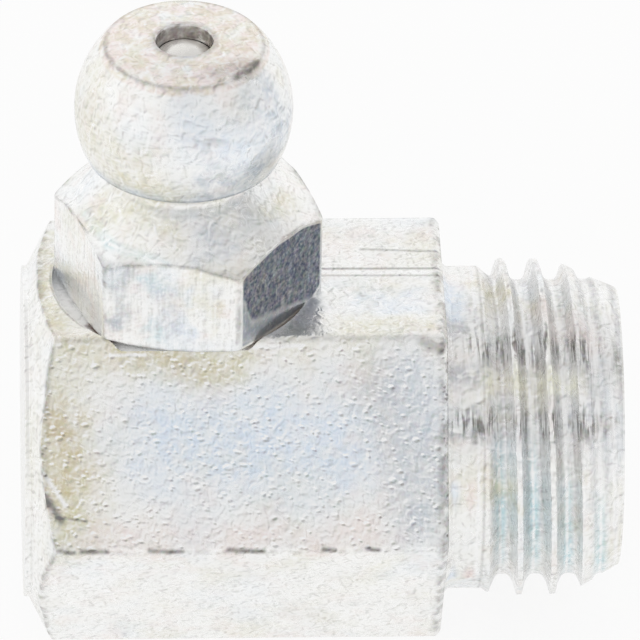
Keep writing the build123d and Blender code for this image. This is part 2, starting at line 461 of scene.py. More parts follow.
def elbow_body_grid(s, t):
    """The whole body as one grid, from the middle of the turned end to the end of the bore.

    Each row is a place along the stud's axis and each column a direction round it, at the radius
    that the finished section has there. Eleven more columns at the top are one point with it,
    except over the seat, where they are the seat's wall and floor and the stem hole.
    """
    corner_spread = 1.15 * corner_turn(s.across_flats, s.corner_radius)
    turn = directions(np.pi / 2, 0, math.radians(1.5), corner_spread)
    turn = np.concatenate([np.full(6, turn[0]), turn, np.full(5, turn[-1])])
    radius = hexagon_radius(turn, s.across_flats, s.corner_radius, np.pi / 6)

    # the turned end, up to where each column leaves the cone
    end_x, end_radius = -s.body_length, s.end_diameter / 2
    step_x = end_x + s.end_step
    waver = ripple(about_x(step_x, radius, turn), 2.2 * MM, 3)
    cone_x = step_x + (radius - end_radius) * math.tan(s.end_cone) + 0.03 * MM * waver
    along, in_seat, in_hole = seat_rows(s)
    rows_x = s.head_axis + along
    clear_x = np.maximum(rows_x[0], cone_x + 0.12 * MM)
    profile = corners(
        turn,
        (end_x, 0),
        (end_x, end_radius),
        (step_x, end_radius),
        (step_x + 0.8 * (cone_x - step_x), end_radius + 0.8 * (radius - end_radius)),
        (cone_x, radius),
        (clear_x, radius),
    )
    end_rows = rounded(profile, [0, 0.04 * MM, 0.03 * MM, 0, 0.05 * MM, 0])
    end = about_x(end_rows[..., 0], end_rows[..., 1], turn)

    # over the seat, columns inside its circle stop at its wall
    share = ((along - along[0]) / (along[-1] - along[0]))[:, None]
    x = rows_x[:, None] + (clear_x - rows_x[0]) * np.clip(1 - share / 0.12, 0, 1) ** 2
    side, height = radius * np.cos(turn) + 0 * x, radius * np.sin(turn) + 0 * x
    seat_z = s.across_flats / 2 - s.seat_depth
    exit_side = s.across_flats / 2 * math.tan(np.pi / 6) + s.seat_depth / math.tan(np.pi / 3)
    cut = np.where(in_seat, np.minimum(half_chord(s.seat_diameter, along), exit_side), 0)[:, None]
    hole = np.where(in_hole, half_chord(s.hole_diameter, along), 0)[:, None]
    floor_z = np.where(in_seat, seat_z, s.across_flats / 2)[:, None]
    foot_z = np.where(in_hole, seat_z - s.hole_depth, floor_z[:, 0])[:, None]
    inside = (np.sin(turn) > 0.8) & (np.abs(side) < cut)
    sign = np.where(np.arange(len(turn)) > len(turn) // 2, 1.0, -1.0)
    side = np.where(inside, sign * cut, side)
    height = np.where(inside, upper_outline(cut, s), height)
    x = np.where(inside, rows_x[:, None], x)
    across = hole + (cut - hole) * np.array([0, 1 / 3, 2 / 3, 1])
    side[:, :6] = np.concatenate([0 * hole, -hole, -across], 1)
    side[:, -5:] = np.concatenate([across[:, ::-1], hole], 1)
    height[:, :6] = np.concatenate([foot_z, foot_z] + [floor_z] * 4, 1)
    height[:, -5:] = np.concatenate([floor_z] * 4 + [foot_z], 1)
    x[:, :6] = x[:, -5:] = rows_x[:, None]
    seat = joined(x, side, height)

    # over the shoulder to the shank
    shank = t.shank_diameter / 2
    first_row, last_row, row_step = 0.85 * MM, t.stud_length - 0.03 * MM, 0.026 * MM
    thread_x = np.arange(first_row, last_row, row_step)[:, None]
    profile = corners(
        turn,
        (rows_x[-1], radius),
        (-0.45 * MM, radius),
        (-s.shoulder_break, radius),
        (0, radius * (1 - 2 * s.shoulder_break / s.across_flats)),
        (0, shank + t.root_break),
        (t.root_break, shank),
        (thread_x[0], shank),
    )
    shoulder_rows = rounded(profile, [0, 0, 0.06 * MM, 0.06 * MM, 0, 0.05 * MM, 0])
    shoulder = about_x(shoulder_rows[..., 0], shoulder_rows[..., 1], turn)

    # the thread, the stud's end and the bore
    thread_r = thread_radius(thread_x, turn[None, :], t)
    thread = about_x(thread_x, thread_r, turn)
    bore = t.bore_diameter / 2
    bore_end = s.head_axis + s.hole_diameter / 2 + 0.2 * MM
    profile = corners(
        turn,
        (thread_x[-1], thread_r[-1]),
        (t.stud_length, thread_r[-1] - 0.02 * MM),
        (t.stud_length, bore + t.bore_break),
        (t.stud_length - t.bore_break, bore),
        (bore_end, bore),
        (bore_end, 0),
    )
    bore_rows = rounded(profile, [0, 0.01 * MM, 0.05 * MM, 0.05 * MM, 0.1 * MM, 0])
    stud_end = about_x(bore_rows[..., 0], bore_rows[..., 1], turn)

    # the finishes in their order; the drawn bar's goes on over the shoulder's chamfer, and the
    # turned end's over the bore's
    drawn, turned, milled, threaded, bored = range(5)
    points = np.concatenate([end, seat, shoulder, thread, stud_end])
    over_edge, round_end = 11, 12
    kinds = np.repeat(
        [turned, drawn, threaded, turned, bored],
        [
            len(end),
            len(seat) + over_edge,
            len(shoulder) - over_edge + len(thread),
            round_end,
            len(stud_end) - round_end - 1,
        ],
    )[:, None] + np.zeros(len(turn), int)
    kinds[len(end) - 4 : len(end)] = drawn
    seat_faces = slice(len(end), len(end) + len(seat) - 1)
    kinds[seat_faces, :6] = kinds[seat_faces, -6:] = milled

    # the worn edges: the bar's corners, the end cone's rim and both edges of the shoulder's
    # chamfer, whose middle rows are 4 and 9
    beside = from_corner(turn, s.across_flats, 0) / (0.17 * MM)
    edge = 0.6 * np.exp(-(beside**2)) * np.ones((len(points), 1))
    edge[: len(end)] = worn(end_rows, [end_rows[-4]], 0.1 * MM)
    over_seat = edge[len(end) : len(end) + len(seat)]
    over_seat[inside] = over_seat[:, :6] = over_seat[:, -5:] = 0
    shoulder_at = len(end) + len(seat)
    shoulder_edge = worn(shoulder_rows, [shoulder_rows[4], shoulder_rows[9]], 0.15 * MM)
    edge[shoulder_at : shoulder_at + 2] = edge[shoulder_at]
    edge[shoulder_at + 2 : shoulder_at + 12] = shoulder_edge[2:12]
    edge[shoulder_at + 12 :] = 0
    return points, kinds, edge


def thread_radius(x, turn, t):
    """Distance from the stud's axis to the thread, at places along it and turns about it.

    The distance from the nearest crest, in pitches, is that of x less the turn's share of a
    pitch. Beyond half a crest it falls to the root as one less the share of the way back from
    the valley's middle, raised to the power 3.2. The valleys start shallow and reach full depth within
    one turn, and the lead-in cone cuts off what is above it.
    """
    pitches = (x - t.first_crest) / t.pitch - turn / (2 * np.pi)
    from_crest = np.abs(pitches - np.round(pitches))
    half = t.crest_width / t.pitch / 2
    back = np.clip((0.5 - from_crest) / (0.5 - half), 0, 1)
    valley = 1 - back**3.2
    fade = step(pitches + turn / (2 * np.pi), 0.35, 1.05)
    shank, crest = t.shank_diameter / 2, t.thread_diameter / 2
    blank = shank + (crest - shank) * step(x, 1.0 * MM, 1.75 * MM)
    at = about_x(x, crest, turn)
    ragged = 0.022 * MM * (1 + ripple(at, 0.4 * MM, 5)) * np.exp(-((from_crest / 0.1) ** 2))
    threaded = blank - fade * (t.thread_depth * valley + ragged)
    from_end = t.stud_length - x
    off_axis = t.lead_in_offset * np.sin(turn) * step(from_end, 0, 1 * MM)
    cone = t.end_diameter / 2 + from_end * math.tan(t.lead_in) - off_axis
    return np.minimum(threaded, cone)


# ---------------------------------------------------------------- the nipple head and its valve


def nipple_head_grid(s, head_axis, seat_z):
    """The head as one closed ring of rows, each turned about the head's axis.

    The rows follow the head's section up the outside and down the valve's bore. Outside, no
    column goes further out than the hexagon, so the cones above and under it cut its flats in
    arcs. The ball and the crown are arcs at even steps of angle.
    """
    corner_spread = 1.3 * corner_turn(s.across_flats, s.corner_radius)
    turn = directions(0, s.turn, math.radians(1.5), corner_spread)[:-1]
    zero = 0 * turn
    hexagon = hexagon_radius(turn, s.across_flats, s.corner_radius, s.turn + np.pi / 6)
    stem, contact, circle = s.stem_diameter / 2, s.contact_diameter / 2, s.chamfer_circle / 2
    stem_z = -STEM_LENGTH
    under_z = (hexagon - contact) * math.tan(s.underside)
    waver = 0.02 * MM * ripple(about_z(hexagon, zero, turn, 0), 1.2 * MM, 11)
    over_z = s.hex_top - (hexagon - circle) * math.tan(s.chamfer) + 0.07 * MM * np.cos(2 * turn) + waver
    neck = s.neck_diameter / 2
    ball, ball_z = s.ball_diameter / 2, s.ball_height
    undercut_r = math.sqrt(ball**2 - s.undercut_drop**2)
    undercut_z = ball_z - s.undercut_drop
    neck_top = undercut_z - (undercut_r - neck) * math.tan(s.undercut)
    crown_edge = s.crown_diameter / 2
    crown_z = ball_z + math.sqrt(ball**2 - crown_edge**2)
    low, high = -math.asin(s.undercut_drop / ball), math.acos(crown_edge / ball)
    mouth = s.mouth_diameter / 2
    crown_r = np.linspace(crown_edge, mouth + s.mouth_break, 9)
    crown_base = crown_z - math.sqrt(s.crown_radius**2 - crown_edge**2)
    crown_rise = crown_base + np.sqrt(s.crown_radius**2 - crown_r**2)
    mouth_z = crown_base + math.sqrt(s.crown_radius**2 - mouth**2)
    chamber, lip = s.chamber_diameter / 2, s.lip_diameter / 2
    ball_seat_z = mouth_z - s.mouth_depth
    chamber_z = ball_seat_z - (chamber - mouth) / math.tan(s.seat_angle / 2)

    foot = rounded(
        corners(
            turn,
            (lip, stem_z, 0),
            (stem - s.stem_chamfer, stem_z, 0),
            (stem, stem_z + s.stem_chamfer, 0),
            (stem, 0, 0),
            (contact, 0, 0),
            (hexagon, under_z, s.run_out),
            (hexagon, under_z + 0.15 * MM, s.run_out),
            (hexagon, over_z - 0.15 * MM, s.run_out),
            (hexagon, over_z, s.run_out),
            (circle, s.hex_top, s.run_out),
            (neck, s.neck_foot, 0),
            (neck, neck_top, 0),
            (undercut_r, undercut_z, 0),
        ),
        [0, 0.05 * MM, 0.05 * MM, 0, 0, 0.05 * MM, 0, 0, 0.045 * MM, 0.04 * MM, 0.12 * MM, 0.1 * MM, 0],
    )
    sweep = np.linspace(low, high, 30)[1:-1, None]
    globe = joined(ball * np.cos(sweep), ball_z + ball * np.sin(sweep) + zero, 0)
    crown = joined(crown_r[:, None], crown_rise[:, None] + zero, 0)
    bore = rounded(
        corners(
            turn,
            (mouth + s.mouth_break, crown_rise[-1], 0),
            (mouth, mouth_z - s.mouth_break, 0),
            (mouth, ball_seat_z, 0),
            (chamber, chamber_z, 0),
            (chamber, stem_z + s.lip_thickness, 0),
            (lip, stem_z + s.lip_thickness, 0),
            (lip, stem_z, 0),
        ),
        [0, 0.04 * MM, 0, 0, 0, 0, 0],
    )
    rows = np.concatenate([foot, globe, crown, bore])
    points = about_z(rows[..., 0], seat_z + rows[..., 1], turn, head_axis + rows[..., 2])

    # the finishes in their order
    turned, drawn, bored = range(3)
    row = np.arange(len(rows) - 1)
    level = np.flatnonzero(np.all(rows[..., 0] > hexagon - 1e-9, axis=1))
    flat = (row >= level[0] - 2) & (row < level[-1] + 2)
    inside = row >= len(foot) + len(globe) + len(crown)
    kinds = np.where(flat, drawn, np.where(inside, bored, turned))[:, None]

    # the worn edges: the hexagon's corners, the arcs above and below it and the crown's rim
    row = np.arange(len(rows))[:, None]
    beside = from_corner(turn, s.across_flats, s.turn) / (0.12 * MM)
    along = np.exp(-(beside**2)) * ((row >= level[0]) & (row <= level[-1]))
    arcs = worn(rows, [rows[level[0] - 2], rows[level[-1] + 2]], 0.07 * MM)
    rim = 0.6 * worn(rows, [rows[len(foot) + len(globe)]], 0.09 * MM)
    edge = np.maximum(along, np.maximum(arcs, rim))
    return points, kinds, edge


def check_ball_grid(diameter, centre):
    """A ball: rows at even latitudes and columns at even longitudes, closed at both poles."""
    latitude = np.linspace(-np.pi / 2, np.pi / 2, 49)[:, None]
    turn = np.linspace(0, 2 * np.pi, 97)[:-1]
    out = diameter / 2 * np.cos(latitude)
    return about_z(out, diameter / 2 * np.sin(latitude), turn, 0) + np.array(centre)


def check_spring_grid(wire, coils, low, high, head_axis):
    """A coil: a circle of the wire's radius carried square to a helix, closed at both ends.

    The helix climbs evenly from the lowest to the highest coil. At each place its radial
    direction and the direction square to both that and the helix span the wire's circle.
    """
    radius = (high.x - low.x) / 2 - wire / 2
    climb = (high.z - low.z - wire) / (2 * np.pi * coils)
    along = np.linspace(0, 2 * np.pi * coils, round(36 * coils) + 1)
    way = unit(joined(-radius * np.sin(along), radius * np.cos(along), climb))
    out = joined(np.cos(along), np.sin(along), 0)
    over = np.cross(way, out)
    height = low.z + wire / 2 + climb * along
    centre = about_z(radius, height, along, head_axis)
    turn = np.linspace(0, 2 * np.pi, 13)[:-1, None]
    ring = wire / 2 * (np.cos(turn) * out[:, None] + np.sin(turn) * over[:, None])
    ring = np.concatenate([0 * ring[:1], ring, 0 * ring[-1:]])
    centre = np.concatenate([centre[:1], centre, centre[-1:]])
    return centre[:, None] + ring


# ---------------------------------------------------------------- finishes


def add(tree, kind, sockets=(), out=0, **settings):
    """Adds a node, gives it its settings, sets or links its sockets, and returns one output."""
    node = tree.nodes.new("ShaderNode" + kind)
    for name, value in settings.items():
        setattr(node, name, value)
    for name, value in dict(sockets).items():
        if isinstance(value, bpy.types.NodeSocket):
            tree.links.new(value, node.inputs[name])
        else:
            node.inputs[name].default_value = value
    return node if out is None or not node.outputs else node.outputs[out]


def start_finish(name):
    """A new material, its node tree, and the place on the object in millimetres."""
    finish = bpy.data.materials.new(name)
    finish.use_nodes = True
    tree = finish.node_tree
    tree.nodes.clear()
    metres = add(tree, "TexCoord", out="Object")
    place = add(tree, "VectorMath", {0: metres, "Scale": 1 / MM}, operation="SCALE")
    return finish, tree, place


def blotches(tree, place, size, low, high, detail=3.0, least=0.0):
    """Soft patches of a size in mm: least where the noise is below low, and 1 above high."""
    noise = add(tree, "TexNoise", {"Vector": place, "Scale": 1 / size, "Detail": detail})
    ends = {"Value": noise, "From Min": low, "From Max": high, "To Min": least}
    return add(tree, "MapRange", ends, interpolation_type="SMOOTHSTEP")


def mark(tree, place, start, end, width):
    """1 on the line from start to end, in mm, falling smoothly to 0 at the given width from it.

    The nearest point of the line is start plus the way to end, times the share of it that the
    place lies along, kept from 0 to 1.
    """
    way = tuple(b - a for a, b in zip(start, end))
    size = sum(w * w for w in way) or 1.0
    gap = add(tree, "VectorMath", {0: place, 1: start}, operation="SUBTRACT")
    per_way = tuple(w / size for w in way)
    share = add(tree, "VectorMath", {0: gap, 1: per_way}, out="Value", operation="DOT_PRODUCT")
    share = add(tree, "Clamp", {"Value": share})
    along = add(tree, "VectorMath", {0: way, "Scale": share}, operation="SCALE")
    off = add(tree, "VectorMath", {0: gap, 1: along}, operation="SUBTRACT")
    off = add(tree, "VectorMath", {0: off}, out="Value", operation="LENGTH")
    ends = {"Value": off, "From Min": width, "From Max": 0.0}
    return add(tree, "MapRange", ends, interpolation_type="SMOOTHSTEP")


def marks(tree, place, rows):
    """A mark for each row of start, end and width, with what else stands in its row."""
    return [(mark(tree, place, *row[:3]), *row[3:]) for row in rows]


def wandering(tree, place, size, amount):
    """The place moved by smooth noise of the given size, by up to about the amount, in mm."""
    noise = add(tree, "TexNoise", {"Vector": place, "Scale": 1 / size, "Detail": 2.0}, out=1)
    shift = add(tree, "VectorMath", {0: noise, 1: (0.5, 0.5, 0.5)}, operation="SUBTRACT")
    shift = add(tree, "VectorMath", {0: shift, "Scale": 2 * amount}, operation="SCALE")
    return add(tree, "VectorMath", {0: place, 1: shift}, operation="ADD")


def product(tree, *factors):
    """Factors multiplied together."""
    result = factors[0]
    for factor in factors[1:]:
        result = add(tree, "Math", {0: result, 1: factor}, operation="MULTIPLY")
    return result


def total(tree, parts):
    """The sum of sockets times their factors."""
    value = 0.0
    for part, factor in parts:
        value = add(tree, "Math", {0: part, 1: factor, 2: value}, operation="MULTIPLY_ADD")
    return value


def tinted(tree, colour, layers):
    """A colour with each layer's colour mixed over it by its mask times its share."""
    for mask, share, shade in layers:
        amount = add(tree, "Math", {0: mask, 1: share}, operation="MULTIPLY", use_clamp=True)
        colour = add(tree, "Mix", {0: amount, 6: colour, 7: tuple(shade)}, out=2, data_type="RGBA")
    return colour


def stained(tree, place, colour, stains):
    """A colour with mottled stains over it, each about the line from start to end in mm."""
    if not stains:
        return colour
    mottle = blotches(tree, place, 0.4, 0.35, 0.65, least=0.5)
    patches = marks(tree, wandering(tree, place, 1.3, 1.0), stains)
    return tinted(tree, colour, [(product(tree, patch, mottle), *rest) for patch, *rest in patches])


def passivated_zinc(tree, place, colours, tint):
    """Zinc with the thin passivation film, which turns yellow, blue and rose in soft patches."""
    layers = []
    for i, (shade, size) in enumerate(((colours.yellow, 1.6), (colours.blue, 2.1), (colours.rose, 0.9))):
        moved = add(tree, "Mapping", {"Vector": place, "Location": (17.3 * i, 34.6 * i, -17.3 * i)})
        layers.append((blotches(tree, moved, size, 0.46, 0.7), tint, shade))
    return tinted(tree, tuple(colours.zinc), layers)


def dents(tree, place, spacing, size, share):
    """1 in the middle of round hollows of the given radius in mm, in a share of the cells."""
    cells = add(tree, "TexVoronoi", {"Vector": place, "Scale": 1 / spacing}, out=None)
    reach = size / spacing
    ends = {"Value": cells.outputs["Distance"], "From Min": reach, "From Max": 0.3 * reach}
    near = add(tree, "MapRange", ends, interpolation_type="SMOOTHSTEP")
    chosen = add(tree, "SeparateColor", {0: cells.outputs["Color"]})
    chosen = add(tree, "MapRange", {"Value": chosen, "From Min": 1 - share, "From Max": 1 - share / 2})
    return product(tree, near, chosen)


def head_axis_shift():
    """What moves a finish's origin to the head's axis, in mm."""
    return (-bpy.context.scene.nipple_elbow.head_axis / MM, 0, 0)


def ring(tree, place, radius, width):
    """1 on a level circle about the head's axis, and 0 from the width in or out from it."""
    shift = {"Vector": place, "Location": head_axis_shift(), "Scale": (1, 1, 0)}
    flat = add(tree, "Mapping", shift)
    away = add(tree, "VectorMath", {0: flat}, out="Value", operation="LENGTH")
    away = add(tree, "Math", {0: away, 1: radius}, operation="SUBTRACT")
    away = add(tree, "Math", {0: away}, operation="ABSOLUTE")
    return add(tree, "MapRange", {"Value": away, "From Min": width, "From Max": 0.3 * width})


def band(tree, value, middle, width):
    """1 where a value is at the middle, falling smoothly to 0 where it is the width away from it."""
    off = add(tree, "Math", {0: value, 1: middle}, operation="SUBTRACT")
    off = add(tree, "Math", {0: off}, operation="ABSOLUTE")
    ends = {"Value": off, "From Min": width, "From Max": 0.0}
    return add(tree, "MapRange", ends, interpolation_type="SMOOTHSTEP")


def worn_line(tree, place):
    """The edge attribute as a line broken by uneven wear."""
    edge = add(tree, "Attribute", out="Fac", attribute_name="edge")
    line = add(tree, "MapRange", {"Value": edge, "From Min": 0.3, "From Max": 0.95})
    uneven = blotches(tree, place, 0.4, 0.38, 0.6, least=0.15)
    return product(tree, line, uneven)


# how far the relief is compared with itself in mm, and how much painted highlight and painted shade each
# mm of change gives
RELIEF_SHIFT = (0.05, -0.035, -0.05)
RELIEF_PAINTED_HIGHLIGHT, RELIEF_PAINTED_SHADE = 90.0, 32.0


def speckled(tree, place, colour, size, share):
    """A colour with specks of every hue, of the given size in mm, laid over it."""
    specks = add(tree, "TexNoise", {"Vector": place, "Scale": 1 / size, "Detail": 2.0}, out=1)
    mixed = {0: share, 6: colour, 7: specks}
    return add(tree, "Mix", mixed, out=2, data_type="RGBA", blend_type="OVERLAY")


def finish_metal(tree, colour, metal, rough, least, most, **more):
    """Ends a metal finish, its roughness going from least to most by a mask."""
    rough = add(tree, "MapRange", {"Value": rough, "To Min": least, "To Max": most})
    look = {"Base Color": colour, "Metallic": metal, "Roughness": rough, **more}
    add(tree, "OutputMaterial", {"Surface": add(tree, "BsdfPrincipled", look)})


def finish_plate(tree, place, colour, relief, dirt, colours, roughness, soil=0.5, metal=0.92):
    """Ends a plated finish: its relief in mm, the grime in it, and grime on its worn edges.

    Painted highlight and painted shade: the colour goes towards white on the side of what stands up that
    lies up and away from the stud, and towards grime on the other side, by how much the relief changes
    over 0.08 mm.
    """
    height = relief(tree, place)
    beyond = relief(tree, add(tree, "VectorMath", {0: place, 1: RELIEF_SHIFT}, operation="ADD"))
    change = add(tree, "Math", {0: height, 1: beyond}, operation="SUBTRACT")
    # painted highlight on one side of each bump, painted shade on the other
    bright = add(tree, "Math", {0: change, 1: RELIEF_PAINTED_HIGHLIGHT}, operation="MULTIPLY", use_clamp=True)
    dull = add(tree, "Math", {0: change, 1: -RELIEF_PAINTED_SHADE}, operation="MULTIPLY", use_clamp=True)
    line = worn_line(tree, wandering(tree, place, 0.2, 0.05))
    # the painted shade is mixed in with the grime here
    dirt = total(tree, [(dirt, 1.0), (dull, 1.0), (line, soil)])
    colour = tinted(tree, colour, [(bright, 1.0, WHITE), (dirt, 1.0, colours.grime)])
    colour = speckled(tree, place, colour, 0.14, 0.16)
    bump = add(tree, "Bump", {"Height": height, "Distance": 0.001, "Strength": 0.7})
    cloud = blotches(tree, place, 0.9, 0.3, 0.7)
    finish_metal(tree, colour, metal, cloud, roughness - 0.05, roughness + 0.07, Normal=bump)


def wormy(tree, place, size):
    """Noise of the given size in mm whose blobs are drawn out into short bent worms."""
    settings = {"Vector": place, "Scale": 1 / size, "Detail": 1.0, "Roughness": 0.5, "Distortion": 0.9}
    return add(tree, "TexNoise", settings)


def drawn_skin(tree, place):
    """Relief in mm of plate over a drawn skin: orange peel with two sizes of small hollow in it.

    The peel is 0.24 mm wide. The hollows are 0.13 and 0.19 mm wide and lie aslant along the bar.
    On the level flat and underneath the hollows are shallower.
    """
    aslant = add(tree, "Mapping", {"Vector": place, "Rotation": (0, 0.35, 0), "Scale": (0.7, 1, 1.15)})
    uneven = wandering(tree, aslant, 0.25, 0.06)
    large, small = dents(tree, uneven, 0.3, 0.095, 0.7), dents(tree, uneven, 0.19, 0.065, 1.0)
    facing = add(tree, "SeparateXYZ", {0: add(tree, "NewGeometry", out="Normal")}, out="Z")
    steep = add(tree, "MapRange", {"Value": facing, "From Min": 0.8, "From Max": 0.6, "To Min": 0.3})
    front = add(tree, "MapRange", {"Value": facing, "From Min": -0.2, "From Max": 0.2, "To Min": 0.2})
    hollows = product(tree, total(tree, [(large, -0.015), (small, -0.014)]), steep, front)
    return total(tree, [(wormy(tree, place, 0.24), 0.028), (hollows, 1.0)])


def drawn_bar_plate(colours):
    """Zinc plate on drawn bar: orange peel and pits from the drawn skin, and worn edges.

    Draw lines run along the bar on the upper flat, and the rear of the front flat has a gouge.
    """
    finish, tree, place = start_finish("zinc plate on drawn bar")
    wavy, ragged = wandering(tree, place, 0.8, 0.05), wandering(tree, place, 0.3, 0.12)
    draw_lines = [
        ((-3.9, 0.43, 5.5), (0, 0.4, 5.5), 0.1, 0.6),
        ((-3.9, 0.08, 5.5), (0, 0.03, 5.5), 0.09, 0.4),
    ]
    grooves = [
        ((-2.4, 1.42, 5.5), (0, 1.3, 5.5), 0.1, 0.45),
        ((-2.9, -3.1, 5.4), (-0.2, -3.12, 5.4), 0.05, 0.3),
        ((-11.95, -5.45, 1.5), (-11.45, -5.85, 0.85), 0.2, 0.8),
        ((-11.6, -5.8, 0.95), (-10.7, -5.85, 0.85), 0.08, 0.5),
    ]
    # broken dark lines where the edge under the front flat is rubbed
    dashes = ((-11.5, -11.1), (-10.85, -10.1), (-8.84, -7.9), (-6.5, -5.5), (-3.7, -3.4), (-2.4, -2.1))
    grooves += [((start, -6.25, 0.06), (end, -6.25, 0.02), 0.14, 0.8) for start, end in dashes]
    dirt = marks(tree, place, draw_lines) + marks(tree, wavy, grooves)
    dirt.append((mark(tree, ragged, (-0.75, -3.3, 5.4), (-0.25, -3.35, 5.2), 0.28), 0.5))
    # white lines: painted highlights along the front flat's upper edge beside the head and down the
    # shoulder's edge, and white marks along the draw line, on the front-left corner and across the upper
    # flat
    rubs_and_painted_highlights = [
        ((-3.9, 0.25, 5.5), (0, 0.21, 5.5), 0.12, 0.9, WHITE),
        ((-5.85, -3.33, 5.27), (-4.4, -3.3, 5.3), 0.12, 1.0, WHITE),
        ((-9.98, -3.42, 5.1), (-8.95, -3.42, 5.1), 0.1, 1.0, WHITE),
        ((-11.95, -5.15, 2.05), (-11.35, -5.62, 1.25), 0.13, 1.0, WHITE),
        ((-2.95, -0.7, 5.5), (-2.8, -1.2, 5.5), 0.15, 1.0, WHITE),
        ((-0.22, -6.0, 0.5), (-0.15, -5.2, 1.9), 0.12, 1.0, WHITE),
    ]
    rim = product(
        tree,
        ring(tree, wandering(tree, place, 0.4, 0.04), 3.9, 0.05),
        mark(tree, place, (-11.6, 0, 5.5), (-11.1, -2.2, 5.5), 0.9),
    )
    dirt = total(tree, dirt + [(rim, 0.45)])
    colour = passivated_zinc(tree, place, colours, 0.28)
    stains = [
        ((-11.6, -4.4, 4.4), (-11.3, -5.9, 0.6), 1.6, 1.0, colours.yellow),
        ((-11.0, -3.3, 5.2), (-6.5, -3.5, 5.0), 1.2, 0.9, colours.yellow),
        ((-11.6, -4.6, 4.1), (-11.4, -5.4, 2.2), 1.0, 0.35, colours.amber),
        ((-9.9, -3.4, 5.1), (-7.4, -3.5, 5.0), 0.7, 0.16, colours.amber),
        ((-2.0, -3.9, 4.0), (-0.7, -5.3, 1.6), 1.9, 0.28, colours.grime),
        ((-10.5, -6.2, 0.3), (-1.5, -6.2, 0.3), 0.9, 0.5, colours.rose),
        ((-11.0, -5.4, -3.2), (-1.0, -5.4, -3.2), 3.6, 0.7, colours.zinc),
        ((-8.2, -4.7, 2.9), (-3.5, -4.8, 2.7), 2.6, 1.0, colours.blue),
        ((-1.2, -3.6, 4.6), (-0.8, -5.8, 0.8), 1.9, 0.75, colours.slate),
        ((-12.0, 1.8, 5.5), (-12.0, -2.2, 5.5), 1.0, 0.8, colours.yellow),
        ((-2.4, -1.2, 5.5), (-1.2, -1.3, 5.5), 1.2, 0.6, colours.blue),
        ((-2.9, -2.5, 5.5), (-0.4, -2.6, 5.5), 0.8, 0.5, colours.yellow),
    ]
    colour = tinted(tree, stained(tree, place, colour, stains), marks(tree, wavy, rubs_and_painted_highlights))
    finish_plate(tree, place, colour, drawn_skin, dirt, colours, 0.25)
    return finish


def lathe_marks(tree, place, axis, centre, spacing, around):
    """Noise of about the given spacing in mm along and across an axis, and long round it.

    It is four-dimensional: the distance from the axis, the sine and cosine of the turn about it
    times the number of features in a radian, and the place along it.
    """
    centred = add(tree, "Mapping", {"Vector": place, "Location": centre})
    split = add(tree, "SeparateXYZ", {0: centred}, out=None)
    parts = [split.outputs[i] for i in range(3)]
    along = parts.pop(axis)
    flat = add(tree, "CombineXYZ", {0: parts[0], 1: parts[1]})
    radius = add(tree, "VectorMath", {0: flat}, out="Value", operation="LENGTH")
    circle = add(tree, "VectorMath", {0: flat}, operation="NORMALIZE")
    circle = add(tree, "VectorMath", {0: circle, "Scale": around}, operation="SCALE")
    out = product(tree, radius, 1 / spacing)
    vector = add(tree, "VectorMath", {0: circle, 1: add(tree, "CombineXYZ", {2: out})}, operation="ADD")
    settings = {"Vector": vector, "W": product(tree, along, 1 / spacing), "Scale": 1.0, "Detail": 2.0}
    return add(tree, "TexNoise", settings, noise_dimensions="4D")


def turned_plate(
    colours, name, spacing, around, depth, tint, axis, centre, roughness=0.3, layers=None, **more
):
    """Zinc plate on turned steel: fine rings from the tool, a grain of crystals, and few pits.

    The rings have a spacing and a depth in mm and are long round an axis. layers adds what one
    place has of its own: it returns grime, tints and stains. The rest goes to finish_plate.
    """
    finish, tree, place = start_finish(name)

    def relief(tree, place):
        rings = lathe_marks(tree, wandering(tree, place, 1.0, 0.04), axis, centre, spacing, around)
        pits = dents(tree, wandering(tree, place, 0.2, 0.06), 0.4, 0.08, 0.5)
        return total(tree, [(rings, depth), (wormy(tree, place, 0.28), 0.032), (pits, -0.008)])

    coarse = lathe_marks(tree, place, axis, centre, spacing * 3, around / 3)
    dirt = add(tree, "MapRange", {"Value": coarse, "From Min": 0.48, "From Max": 0.3, "To Max": 0.05})
    tints, stains = [], []
    if layers:
        more_dirt, tints, stains = layers(tree, place, colours)
        dirt = total(tree, [(dirt, 1.0)] + more_dirt)
    colour = tinted(tree, passivated_zinc(tree, place, colours, tint), tints)
    colour = stained(tree, place, colour, stains)
    finish_plate(tree, place, colour, relief, dirt, colours, roughness, **more)
    return finish


